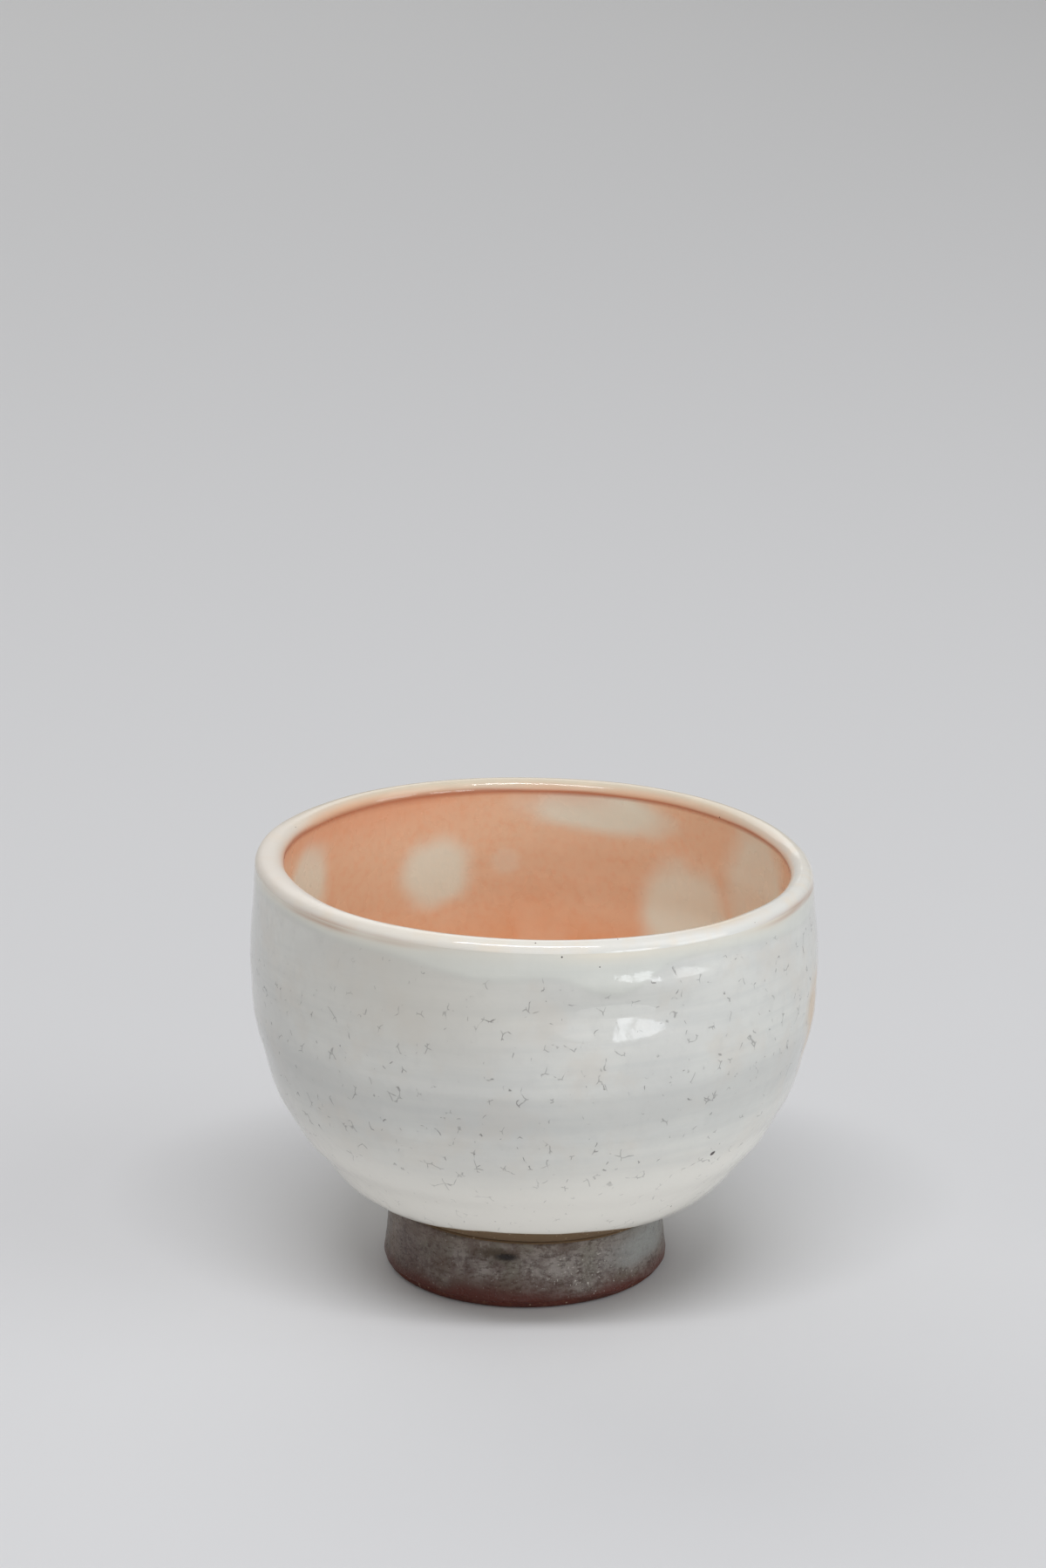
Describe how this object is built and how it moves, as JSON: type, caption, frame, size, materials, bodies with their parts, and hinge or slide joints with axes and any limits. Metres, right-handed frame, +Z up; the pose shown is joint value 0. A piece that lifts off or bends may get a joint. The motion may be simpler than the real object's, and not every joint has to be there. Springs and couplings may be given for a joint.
{
  "type": "kumidashi teacup",
  "caption": "Low, wide handleless teacup: a rounded bowl on a turned foot ring, grey-white crazed glaze outside and an orange-flushed, pale-spotted glaze inside.",
  "frame": {"origin": "on the table, under the bowl's axis", "axes": "+Z up through the mouth, -Y towards the front of the cup, +X to the right of someone facing that front"},
  "size_m": [0.0866, 0.0866, 0.0662],
  "materials": {
    "stoneware": "bare fired clay, matt",
    "white_slip": "fired slip under glaze",
    "flushed_slip": "fired slip under glaze",
    "outer_glaze": "gloss, crazed",
    "inner_glaze": "satin gloss",
    "lip_glaze": "gloss",
    "foot_glaze": "thin gloss over dark clay"
  },
  "bodies": {
    "root": {"bowl_body": "stoneware", "foot_ring": "stoneware", "outer_slip": "white_slip", "inner_slip": "flushed_slip", "outer_glaze": "outer_glaze", "inner_glaze": "inner_glaze", "lip_glaze": "lip_glaze", "foot_glaze": "foot_glaze"}
  },
  "joints": []
}
